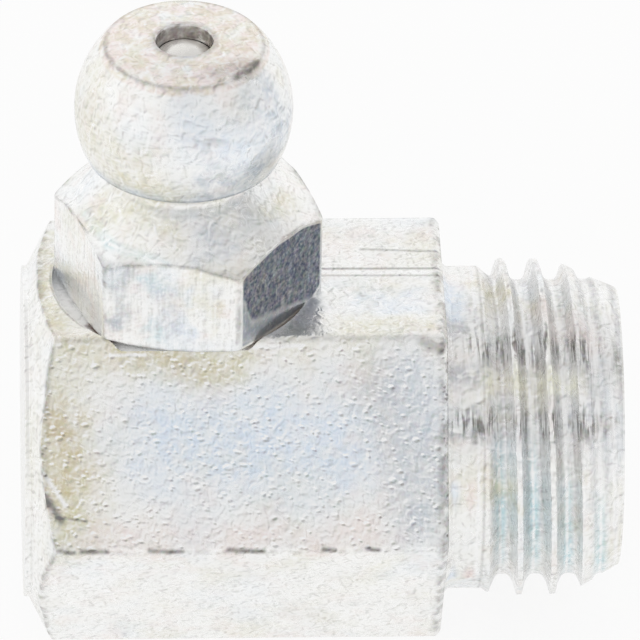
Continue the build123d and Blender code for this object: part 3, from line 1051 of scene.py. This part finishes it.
def head_marks(tree, place, colours):
    """The coupler ball's dents, the crown's rough rim and dull patch, their tints, painted shade round the
    undercut, and painted highlights on the cone and under the dent.
    """
    wavy = wandering(tree, place, 0.5, 0.07)
    coarse = wandering(tree, place, 0.25, 0.1)
    height = add(tree, "SeparateXYZ", {0: place}, out="Z")
    crown = add(tree, "MapRange", {"Value": height, "From Min": 13.6, "From Max": 13.66})
    rim = ring(tree, wandering(tree, place, 0.3, 0.1), 2.33, 0.12)
    broken = blotches(tree, place, 0.5, 0.1, 0.6)
    left = mark(tree, wavy, (-10.1, -0.6, 13.7), (-8.0, -2.4, 13.7), 1.3)
    rim = product(tree, rim, crown, broken)
    front_rim = product(tree, rim, left)
    mouth = product(tree, ring(tree, coarse, 0.85, 0.22), crown)
    pink = product(tree, crown, blotches(tree, place, 0.5, 0.36, 0.56, detail=4.0))
    straw = add(tree, "Mapping", {"Vector": place, "Location": (7.0, 3.0, 5.0)})
    straw = product(tree, crown, blotches(tree, straw, 0.5, 0.42, 0.6, detail=4.0))
    dull = mark(tree, coarse, (-6.9, -1.7, 13.85), (-5.9, -1.15, 13.85), 0.6)
    dull_edge = mark(tree, coarse, (-6.3, -1.75, 13.85), (-5.72, -1.0, 13.85), 0.22)
    dent = mark(tree, wavy, (-7.1, -3.1, 12.4), (-6.0, -2.9, 12.3), 0.2)
    # painted highlight along the ridge under the dent
    painted_ridge_highlight = mark(tree, wavy, (-7.3, -3.2, 12.1), (-5.9, -2.85, 12.2), 0.07)
    crack = mark(tree, coarse, (-9.6, -2.5, 12.2), (-8.3, -3.1, 11.8), 0.05)
    scratch = mark(tree, wavy, (-6.1, -2.9, 8.95), (-5.4, -2.4, 9.15), 0.07)
    fleck = mark(tree, place, (-6.2, -2.95, 8.75), (-6.15, -2.9, 9.1), 0.06)
    dirt = [(rim, 0.2), (front_rim, 0.16), (dull, 0.3), (dull_edge, 0.5), (mouth, 0.35)]
    dirt += [(dent, 0.3), (crack, 0.45), (scratch, 0.5)]
    tints = [(pink, 0.6, colours.rose), (straw, 0.4, colours.yellow), (dull, 0.5, colours.rose)]
    # painted shade: a slate band round the coupler ball's undercut
    tints.append((band(tree, height, 10.15, 0.6), 0.9, colours.slate))
    tints += [(dull_edge, 0.35, colours.rust), (painted_ridge_highlight, 1.0, WHITE), (fleck, 1.0, WHITE)]
    # painted highlights: white lines low on the cone, each in a faint cyan band, where the chamfer over
    # the hexagon meets the cone above it
    painted_highlight_arc = ((-10.62, -1.1, 8.56), (-10.0, -2.45, 8.42), (-8.4, -3.45, 8.33))
    for start, end in zip(painted_highlight_arc, painted_highlight_arc[1:]):
        tints.append((mark(tree, place, start, end, 0.3), 0.3, colours.cyan))
        tints.append((mark(tree, wandering(tree, place, 0.5, 0.05), start, end, 0.1), 1.0, WHITE))
    stains = [
        ((-7.3, -3.1, 12.6), (-5.8, -2.7, 11.9), 1.6, 0.7, colours.blue),
        ((-6.9, -3.1, 10.9), (-5.5, -2.2, 10.9), 1.0, 1.0, colours.slate),
        ((-5.6, -2.0, 13.2), (-5.0, -1.4, 11.8), 1.3, 1.0, colours.slate),
        ((-10.6, -1.4, 12.2), (-9.6, -2.4, 11.3), 1.6, 0.5, colours.yellow),
        ((-9.4, -2.4, 10.9), (-8.2, -2.9, 10.7), 0.9, 0.5, colours.yellow),
        ((-10.1, -1.6, 9.0), (-8.2, -2.7, 9.1), 0.8, 0.5, colours.yellow),
        ((-7.0, -3.2, 9.0), (-5.6, -2.4, 9.1), 0.9, 0.8, colours.slate),
        ((-5.5, -1.7, 8.8), (-4.6, -0.9, 8.8), 0.9, 0.5, colours.yellow),
    ]
    return dirt, tints, stains


def seat_marks(tree, place, colours):
    """The seat's ochre film towards the stud, its rust in front, and painted light over its left side,
    against the shade under the head.
    """
    loose = wandering(tree, place, 0.3, 0.12)
    ochre = mark(tree, loose, (-5.6, -2.9, 5.2), (-4.1, -1.2, 5.2), 0.8)
    rust = mark(tree, loose, (-10.6, -2.0, 5.2), (-9.9, -2.8, 5.2), 0.17)
    # painted light: white mixed over the seat's left side, where the narrow gap under the head shades it
    pale = mark(tree, loose, (-11.4, -0.5, 5.2), (-9.8, -3.0, 5.2), 1.6)
    tints = [(pale, 0.8, WHITE), (ochre, 0.4, colours.amber), (rust, 0.9, colours.rust)]
    return [(rust, 0.4)], tints, []


def bore_marks(tree, place, colours):
    """The dark brown film on the wall of the mouth, where the bath hardly reached."""
    film = blotches(tree, place, 0.35, 0.3, 0.6)
    return [(film, 0.45)], [(film, 0.35, colours.rust)], []


def thread_phase(tree, place):
    """Place within the thread's pitch: 0 on a crest, 0.5 in the valley, 1 on the next crest.

    It is the place along the stud less the share of a turn, in pitches, without whole turns.
    """
    stud = bpy.context.scene.nipple_stud
    split = add(tree, "SeparateXYZ", {0: place}, out=None)
    turn = add(tree, "Math", {0: split.outputs[2], 1: split.outputs[1]}, operation="ARCTAN2")
    along = {0: split.outputs[0], 1: MM / stud.pitch, 2: -stud.first_crest / stud.pitch}
    along = add(tree, "Math", along, operation="MULTIPLY_ADD")
    pitches = add(tree, "Math", {0: turn, 1: -1 / (2 * math.pi), 2: along}, operation="MULTIPLY_ADD")
    return add(tree, "Math", {0: pitches}, operation="FRACT")


def thread_marks(tree, place, colours):
    """Painted highlight lines and painted shade on the flanks along the thread, a painted dark reflection
    in dashes in two bands across it, painted glints, and tints.
    """
    slate = linear("#B4B5BC")
    ragged = wandering(tree, place, 0.3, 0.03)
    phase = thread_phase(tree, ragged)
    uneven = blotches(tree, place, 0.3, 0.35, 0.6, least=0.45)
    lengthwise = add(tree, "SeparateXYZ", {0: ragged}, out="X")
    cut_in = add(tree, "MapRange", {"Value": lengthwise, "From Min": 1.15, "From Max": 1.35})
    plain = add(tree, "Math", {0: 1.0, 1: cut_in}, operation="SUBTRACT")
    # painted highlights: white lines near the valley's root and near the crest of each turn, and one
    # across the shank where the thread starts
    thin, wide = band(tree, phase, 0.415, 0.085), band(tree, phase, 0.87, 0.13)
    lines = product(tree, total(tree, [(thin, 1.0), (wide, 0.9)]), cut_in, uneven)
    start = product(tree, band(tree, lengthwise, 0.92, 0.09), uneven)
    flanks = total(tree, [(band(tree, phase, 0.22, 0.2), 1.0), (band(tree, phase, 0.62, 0.17), 0.9)])
    flanks = product(tree, flanks, cut_in)
    streaks = lathe_marks(tree, place, 0, STUD_AXIS, 0.1, 6.0)
    torn = add(tree, "MapRange", {"Value": streaks, "From Min": 0.5, "From Max": 0.36})
    # painted reflection: dark dashes in two bands along the stud, given grime and a dark blue
    dashes = lathe_marks(tree, place, 0, STUD_AXIS, 0.12, 5.0)
    dashes = add(tree, "MapRange", {"Value": dashes, "From Min": 0.51, "From Max": 0.41})
    loose = wandering(tree, place, 0.5, 0.3)
    upper = mark(tree, loose, (1.2, -2.05, 4.4), (5.0, -2.05, 4.4), 0.9)
    lower = mark(tree, loose, (0.5, -4.0, 2.85), (5.0, -4.0, 2.85), 0.8)
    dark = product(tree, add(tree, "Math", {0: upper, 1: lower}, operation="MAXIMUM"), dashes)
    # painted glints: whitish specks in the band between the two dark bands
    between = mark(tree, loose, (1.3, -3.05, 3.85), (3.6, -3.05, 3.85), 0.8)
    painted_glints = product(tree, between, blotches(tree, place, 0.12, 0.36, 0.46, detail=2.0))
    hollow = band(tree, phase, 0.42, 0.3)
    front = mark(tree, loose, (1.3, -4.5, 0.8), (4.4, -4.4, -2.2), 3.0)
    clouds = blotches(tree, place, 0.7, 0.35, 0.6, detail=2.0, least=0.6)
    film = product(tree, hollow, front, clouds, cut_in)
    blush = product(tree, mark(tree, ragged, (0.72, -4.75, 1.2), (0.74, -4.1, -2.6), 0.3), clouds)
    pale = product(tree, mark(tree, ragged, (0.2, -4.75, 1.2), (0.2, -4.1, -2.6), 0.3), clouds)
    dull = band(tree, lengthwise, 1.1, 0.08)
    level = add(tree, "SeparateXYZ", {0: place}, out="Z")
    upright = add(tree, "MapRange", {"Value": level, "From Min": -2.0, "From Max": 2.5, "To Min": 0.2})
    dash = mark(tree, place, (0.83, -3.85, 2.95), (0.83, -4.2, 2.4), 0.14)
    # this grime holds the torn streaks, the dull band and the dash, and the painted reflection of the dark
    # bands
    dirt = [(product(tree, torn, cut_in, upright), 0.14), (dark, 0.9), (dull, 0.3), (dash, 0.6)]
    # painted shade: slate on the thread's flanks, stronger towards the top
    shadow = product(tree, flanks, upright)
    tints = [(film, 1.0, colours.cyan), (shadow, 0.36, slate), (dark, 0.35, linear("#3E4658"))]
    tints += [(painted_glints, 1.0, linear("#FFFFF0")), (lines, 1.0, WHITE), (start, 1.0, WHITE)]
    tints += [(blush, 0.9, colours.rose), (pale, 0.8, colours.blue)]
    # painted shade: slate patches over the shank's upper front
    shade = product(tree, plain, blotches(tree, place, 0.35, 0.35, 0.55, detail=2.0))
    for begin, end, width, share in (
        ((0.15, -1.4, 4.65), (0.7, -1.4, 4.65), 0.7, 0.55),
        ((0.3, -2.9, 3.9), (0.8, -2.9, 3.9), 0.7, 0.6),
        ((0.1, -4.1, 2.7), (0.8, -4.1, 2.7), 0.7, 0.5),
    ):
        tints.append((product(tree, mark(tree, loose, begin, end, width), shade), share, slate))
    stains = [
        ((1.4, -3.0, 3.9), (3.2, -3.0, 3.9), 0.8, 0.3, colours.yellow),
        ((1.2, 0.6, 4.8), (2.4, -0.4, 4.8), 0.8, 0.6, colours.yellow),
        ((2.6, -1.0, 4.9), (4.4, -1.2, 4.6), 0.9, 0.6, colours.rose),
        ((0.1, 0.6, 4.8), (0.4, -0.8, 4.7), 0.7, 0.8, colours.blue),
        ((1.6, -4.7, 1.2), (2.2, -4.7, 0.2), 0.5, 0.5, colours.yellow),
    ]
    return dirt, tints, stains


def spanner_flat_plate(colours):
    """Zinc plate on the drawn flats of the head's hexagon: streaks along the bar, fine specks, and a
    painted dark reflection on the two flats towards the stud.
    """
    finish, tree, place = start_finish("zinc plate on hexagon flats")

    def relief(tree, place):
        streaked = add(tree, "Mapping", {"Vector": place, "Scale": (1, 1, 0.12)})
        streaks = add(tree, "TexNoise", {"Vector": streaked, "Scale": 1 / 0.16, "Detail": 3.0})
        grain = add(tree, "TexNoise", {"Vector": place, "Scale": 1 / 0.2, "Detail": 2.0, "Roughness": 0.6})
        quiet = add(tree, "MapRange", {"Value": to_stud, "To Min": 1.0, "To Max": 0.35})
        return product(tree, total(tree, [(streaks, 0.022), (grain, 0.026)]), quiet)

    to_stud = add(tree, "SeparateXYZ", {0: add(tree, "NewGeometry", out="Normal")})
    to_stud = add(tree, "MapRange", {"Value": to_stud, "From Min": 0.66, "From Max": 0.74})
    corner = add(tree, "Attribute", out="Fac", attribute_name="edge")
    corner = add(tree, "MapRange", {"Value": corner, "From Min": 0.5, "From Max": 0.1})
    # painted reflection: the two flats towards the stud are painted dark blue, except at their feet, which
    # are painted a lighter grey-blue
    loose = wandering(tree, place, 0.3, 0.12)
    foot = mark(tree, loose, (-6.2, -3.7, 6.0), (-3.8, -1.0, 5.1), 0.8)
    toe = mark(tree, loose, (-6.15, -3.75, 7.0), (-5.9, -3.5, 6.1), 0.5)
    foot = add(tree, "Math", {0: foot, 1: toe}, operation="MAXIMUM")
    above = add(tree, "Math", {0: 1.0, 1: foot}, operation="SUBTRACT")
    above = add(tree, "MapRange", {"Value": above, "From Min": 0.3, "From Max": 0.65})
    specks = add(tree, "TexNoise", {"Vector": place, "Scale": 1 / 0.13, "Detail": 3.0, "Roughness": 0.6})
    ends = {"Value": specks, "From Min": 0.35, "From Max": 0.68, "To Min": 1.0, "To Max": 0.66}
    specks = add(tree, "MapRange", ends)
    dull = product(tree, above, to_stud, specks, corner)
    low = product(tree, foot, to_stud, corner)
    colour = passivated_zinc(tree, place, colours, 0.4)
    stains = [
        ((-9.65, -3.3, 8.1), (-9.6, -3.3, 5.9), 0.6, 1.0, colours.slate),
        ((-9.65, -3.3, 8.1), (-9.6, -3.3, 5.9), 0.9, 0.3, colours.grime),
        ((-8.9, -3.5, 7.9), (-8.6, -3.5, 5.9), 0.5, 0.6, colours.cyan),
        ((-7.7, -3.5, 7.9), (-7.6, -3.5, 5.9), 0.4, 0.8, colours.blue),
        ((-7.0, -3.6, 7.6), (-6.8, -3.6, 6.2), 0.4, 0.5, colours.yellow),
        ((-8.4, -3.5, 7.4), (-8.0, -3.5, 6.0), 0.9, 0.8, colours.slate),
    ]
    colour = stained(tree, place, colour, stains)
    # painted reflection: grey-blue at the feet and dark blue above on the flats towards the stud
    colour = tinted(tree, colour, [(low, 0.9, linear("#8C96A2")), (dull, 1.0, linear("#48546B"))])
    # painted highlight at the lower end of the hexagon's right corner
    painted_corner_highlight = mark(tree, place, (-3.87, -0.97, 5.52), (-3.68, -0.74, 5.74), 0.13)
    reddish = mark(tree, loose, (-10.6, -1.5, 7.0), (-10.25, -2.5, 5.9), 0.3)
    colour = tinted(tree, colour, [(painted_corner_highlight, 1.0, WHITE), (reddish, 0.5, colours.rose)])
    colour = speckled(tree, place, colour, 0.2, product(tree, dull, 0.35))
    finish_plate(tree, place, colour, relief, 0.0, colours, 0.22, metal=0.75)
    return finish


def polished_ball_steel(colours):
    """Ground and polished bearing steel: a clear mirror with a faint haze of fine scratches."""
    finish, tree, place = start_finish("polished bearing steel")
    haze = blotches(tree, place, 0.5, 0.35, 0.65)
    colour = tinted(tree, tuple(colours.ball_steel), [(haze, 0.12, colours.grime)])
    finish_metal(tree, colour, 0.7, haze, 0.25, 0.4)
    return finish


def drawn_wire_steel(colours):
    """Drawn spring wire: grey steel with streaks along the wire, which show as fine noise here."""
    finish, tree, place = start_finish("drawn spring wire")
    streaks = blotches(tree, place, 0.1, 0.35, 0.65)
    colour = tinted(tree, tuple(colours.wire_steel), [(streaks, 1.0, colours.grime)])
    finish_metal(tree, colour, 1.0, streaks, 0.28, 0.42)
    return finish


# ---------------------------------------------------------------- operators


class MakeElbowBody(bpy.types.Operator):
    """Build the hexagon body with its turned end, seat, shank, thread and bore"""

    bl_idname = "grease_nipple.elbow_body"
    bl_label = "Elbow Body"

    def execute(self, context):
        scene = context.scene
        grid = elbow_body_grid(scene.nipple_elbow, scene.nipple_stud)
        colours = scene.nipple_colours
        plated = partial(turned_plate, colours, axis=0, centre=STUD_AXIS)
        seat = dict(axis=2, centre=head_axis_shift(), layers=seat_marks, soil=0, metal=0.05)
        thread = dict(roughness=0.25, layers=thread_marks, soil=0, metal=0.7)
        finishes = [
            drawn_bar_plate(colours),
            plated("zinc plate on turned end", 0.14, 3.0, 0.01, 0.15),
            plated("zinc plate on milled seat", 0.18, 3.0, 0.008, 0.2, **seat),
            plated("zinc plate on thread", 0.12, 5.0, 0.012, 0.3, **thread),
            plated("zinc plate in grease bore", 0.2, 3.0, 0.015, 0.3, roughness=0.35),
        ]
        make_piece("elbow_body_plated", "fitting", "elbow_body", grid, finishes)
        return {"FINISHED"}


class MakeNippleHead(bpy.types.Operator):
    """Build the turned head with its hexagon, neck, coupler ball, mouth and valve bore"""

    bl_idname = "grease_nipple.nipple_head"
    bl_label = "Nipple Head"

    def execute(self, context):
        elbow, colours = context.scene.nipple_elbow, context.scene.nipple_colours
        seat_z = elbow.across_flats / 2 - elbow.seat_depth
        # its first row comes again at the end, so the section is closed
        grid = nipple_head_grid(context.scene.nipple_head, elbow.head_axis, seat_z)
        plated = partial(turned_plate, colours, axis=2, centre=head_axis_shift())
        finishes = [
            plated("zinc plate on turned head", 0.13, 4.0, 0.009, 0.3, layers=head_marks),
            spanner_flat_plate(colours),
            plated("zinc plate in valve bore", 0.12, 3.0, 0.015, 0.4, layers=bore_marks),
        ]
        make_piece("nipple_head_plated", "fitting", "nipple_head", grid, finishes)
        return {"FINISHED"}


class MakeCheckBall(bpy.types.Operator):
    """Build the check ball, which moves with its own body"""

    bl_idname = "grease_nipple.check_ball"
    bl_label = "Check Ball"

    def execute(self, context):
        centre = (BALL_LOW + BALL_HIGH) / 2
        points = check_ball_grid(context.scene.nipple_valve.ball_diameter, centre)
        finishes = [polished_ball_steel(context.scene.nipple_colours)]
        grid = (points, 0, 0.0)
        make_piece("check_ball_polished", "valve_ball", "check_ball", grid, finishes)
        return {"FINISHED"}


class MakeCheckSpring(bpy.types.Operator):
    """Build the spring under the check ball"""

    bl_idname = "grease_nipple.check_spring"
    bl_label = "Check Spring"

    def execute(self, context):
        valve, axis = context.scene.nipple_valve, context.scene.nipple_elbow.head_axis
        points = check_spring_grid(valve.wire_diameter, valve.coils, SPRING_LOW, SPRING_HIGH, axis)
        finishes = [drawn_wire_steel(context.scene.nipple_colours)]
        grid = (points, 0, 0.0)
        coil = make_piece("check_spring_coil", "fitting", "check_spring", grid, finishes)
        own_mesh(coil)
        return {"FINISHED"}


class MakeStage(bpy.types.Operator):
    """Lay the pale floor, set the soft white light and place the camera"""

    bl_idname = "grease_nipple.stage"
    bl_label = "Floor, Light and Camera"

    def execute(self, context):
        settings = context.scene.nipple_stage
        lay_floor(settings)
        light_surroundings(settings)
        place_camera(settings)
        context.scene.view_settings.view_transform = "Standard"
        return {"FINISHED"}


def seen_directly(tree):
    """1 for rays from the camera, reflections and clear materials, 0 for the light on things."""
    kinds = ("Is Camera Ray", "Is Glossy Ray", "Is Transmission Ray")
    rays = [add(tree, "LightPath", out=kind) for kind in kinds]
    either = add(tree, "Math", {0: rays[0], 1: rays[1]}, operation="MAXIMUM")
    return add(tree, "Math", {0: either, 1: rays[2]}, operation="MAXIMUM")


def lay_floor(settings):
    """A level square under the body, which shows nearly white and keeps a soft shadow."""
    reach = 2.0
    mesh = bpy.data.meshes.new("floor")
    square = reach * np.array([[-1, -1, 0], [1, -1, 0], [1, 1, 0], [-1, 1, 0]], float) + [0, 0, BODY_LOW.z]
    mesh.from_pydata(square.tolist(), [], [(0, 1, 2, 3)])
    floor = bpy.data.objects.new("floor", mesh)
    bpy.context.scene.collection.objects.link(floor)
    paint, tree, _ = start_finish("matt white paper")
    matt = add(tree, "BsdfDiffuse", {"Color": tuple(settings.floor)})
    glow = add(tree, "Emission", {"Color": WHITE, "Strength": 1.0})
    share = product(tree, seen_directly(tree), 0.88)
    add(tree, "OutputMaterial", {"Surface": add(tree, "MixShader", {0: share, 1: matt, 2: glow})})
    mesh.materials.append(paint)


def light_surroundings(settings):
    """White surroundings with four soft grey cards for the bright plate to reflect.

    They stand right of the front, overhead, in front, and small at the right. Each has its
    middle, the angles from it where the card is full and where it ends, and the share of light
    it takes. It is a smooth step of the cosine of the angle from its middle.
    """
    world = bpy.data.worlds.new("soft studio")
    bpy.context.scene.world = world
    world.use_nodes = True
    tree = world.node_tree
    tree.nodes.clear()
    way = add(tree, "TexCoord", out="Generated")
    level = settings.light
    for middle, inner, outer, drop in (
        ((0.67, -0.53, 0.52), 27, 90, 0.16),
        ((0.14, 0.24, 0.96), 25, 50, 0.14),
        ((-0.10, -0.75, 0.65), 5, 35, 0.05),
        ((0.79, 0.10, 0.60), 6, 17, 0.35),
    ):
        near = add(tree, "VectorMath", {0: way, 1: middle}, out="Value", operation="DOT_PRODUCT")
        ends = {"From Min": math.cos(math.radians(outer)), "From Max": math.cos(math.radians(inner))}
        ends.update({"Value": near, "To Min": 1.0, "To Max": 1.0 - drop})
        card = add(tree, "MapRange", ends, interpolation_type="SMOOTHSTEP")
        level = product(tree, level, card)
    camera_ray = add(tree, "LightPath", out="Is Camera Ray")
    strength = add(tree, "Mix", {0: camera_ray, 2: level, 3: 1.0}, out=0, data_type="FLOAT")
    background = add(tree, "Background", {"Color": WHITE, "Strength": strength})
    add(tree, "OutputWorld", {"Surface": background})


def place_camera(settings):
    """A long lens, to the front, slightly left and above, rolled a little."""
    out = Vector(
        (
            math.sin(settings.azimuth) * math.cos(settings.elevation),
            -math.cos(settings.azimuth) * math.cos(settings.elevation),
            math.sin(settings.elevation),
        )
    )
    right = Vector((math.cos(settings.azimuth), math.sin(settings.azimuth), 0))
    up = right.cross(-out)
    across = math.cos(settings.roll) * right + math.sin(settings.roll) * up
    upward = math.cos(settings.roll) * up - math.sin(settings.roll) * right
    data = bpy.data.cameras.new("camera")
    data.sensor_width = 36
    data.lens = settings.lens
    data.clip_start, data.clip_end = 0.01, 10
    camera = bpy.data.objects.new("camera", data)
    bpy.context.scene.collection.objects.link(camera)
    place = Matrix((across, upward, out)).transposed().to_4x4()
    place.translation = CAMERA_AIM + settings.distance * out
    camera.matrix_world = place
    bpy.context.scene.camera = camera


class GreaseNipplePanel(bpy.types.Panel):
    """Lists the pieces, their sizes and colours"""

    bl_idname = "VIEW3D_PT_grease_nipple"
    bl_label = "Grease Nipple"
    bl_space_type = "VIEW_3D"
    bl_region_type = "UI"
    bl_category = "Grease Nipple"

    def draw(self, context):
        for operator in OPERATORS:
            self.layout.operator(operator.bl_idname)
        for name, group in SETTINGS:
            box = self.layout.box()
            box.label(text=group.__doc__)
            for key in group.__annotations__:
                box.prop(getattr(context.scene, name), key)


SETTINGS = (
    ("nipple_elbow", ElbowSizes),
    ("nipple_stud", StudSizes),
    ("nipple_head", HeadSizes),
    ("nipple_valve", ValveSizes),
    ("nipple_colours", FinishColours),
    ("nipple_stage", StageSettings),
)
OPERATORS = (MakeElbowBody, MakeNippleHead, MakeCheckBall, MakeCheckSpring, MakeStage)


def register():
    """Registers the settings, the operators and the panel."""
    for name, group in SETTINGS:
        bpy.utils.register_class(group)
        setattr(bpy.types.Scene, name, bpy.props.PointerProperty(type=group))
    for kind in OPERATORS + (GreaseNipplePanel,):
        bpy.utils.register_class(kind)


def unregister():
    """Takes away what register added."""
    for kind in (GreaseNipplePanel,) + OPERATORS[::-1]:
        bpy.utils.unregister_class(kind)
    for name, group in SETTINGS[::-1]:
        delattr(bpy.types.Scene, name)
        bpy.utils.unregister_class(group)


def main():
    """Builds the stage and every piece."""
    register()
    bpy.ops.grease_nipple.stage()
    bpy.ops.grease_nipple.elbow_body()
    bpy.ops.grease_nipple.nipple_head()
    bpy.ops.grease_nipple.check_ball()
    bpy.ops.grease_nipple.check_spring()


if __name__ == "__main__":
    main()
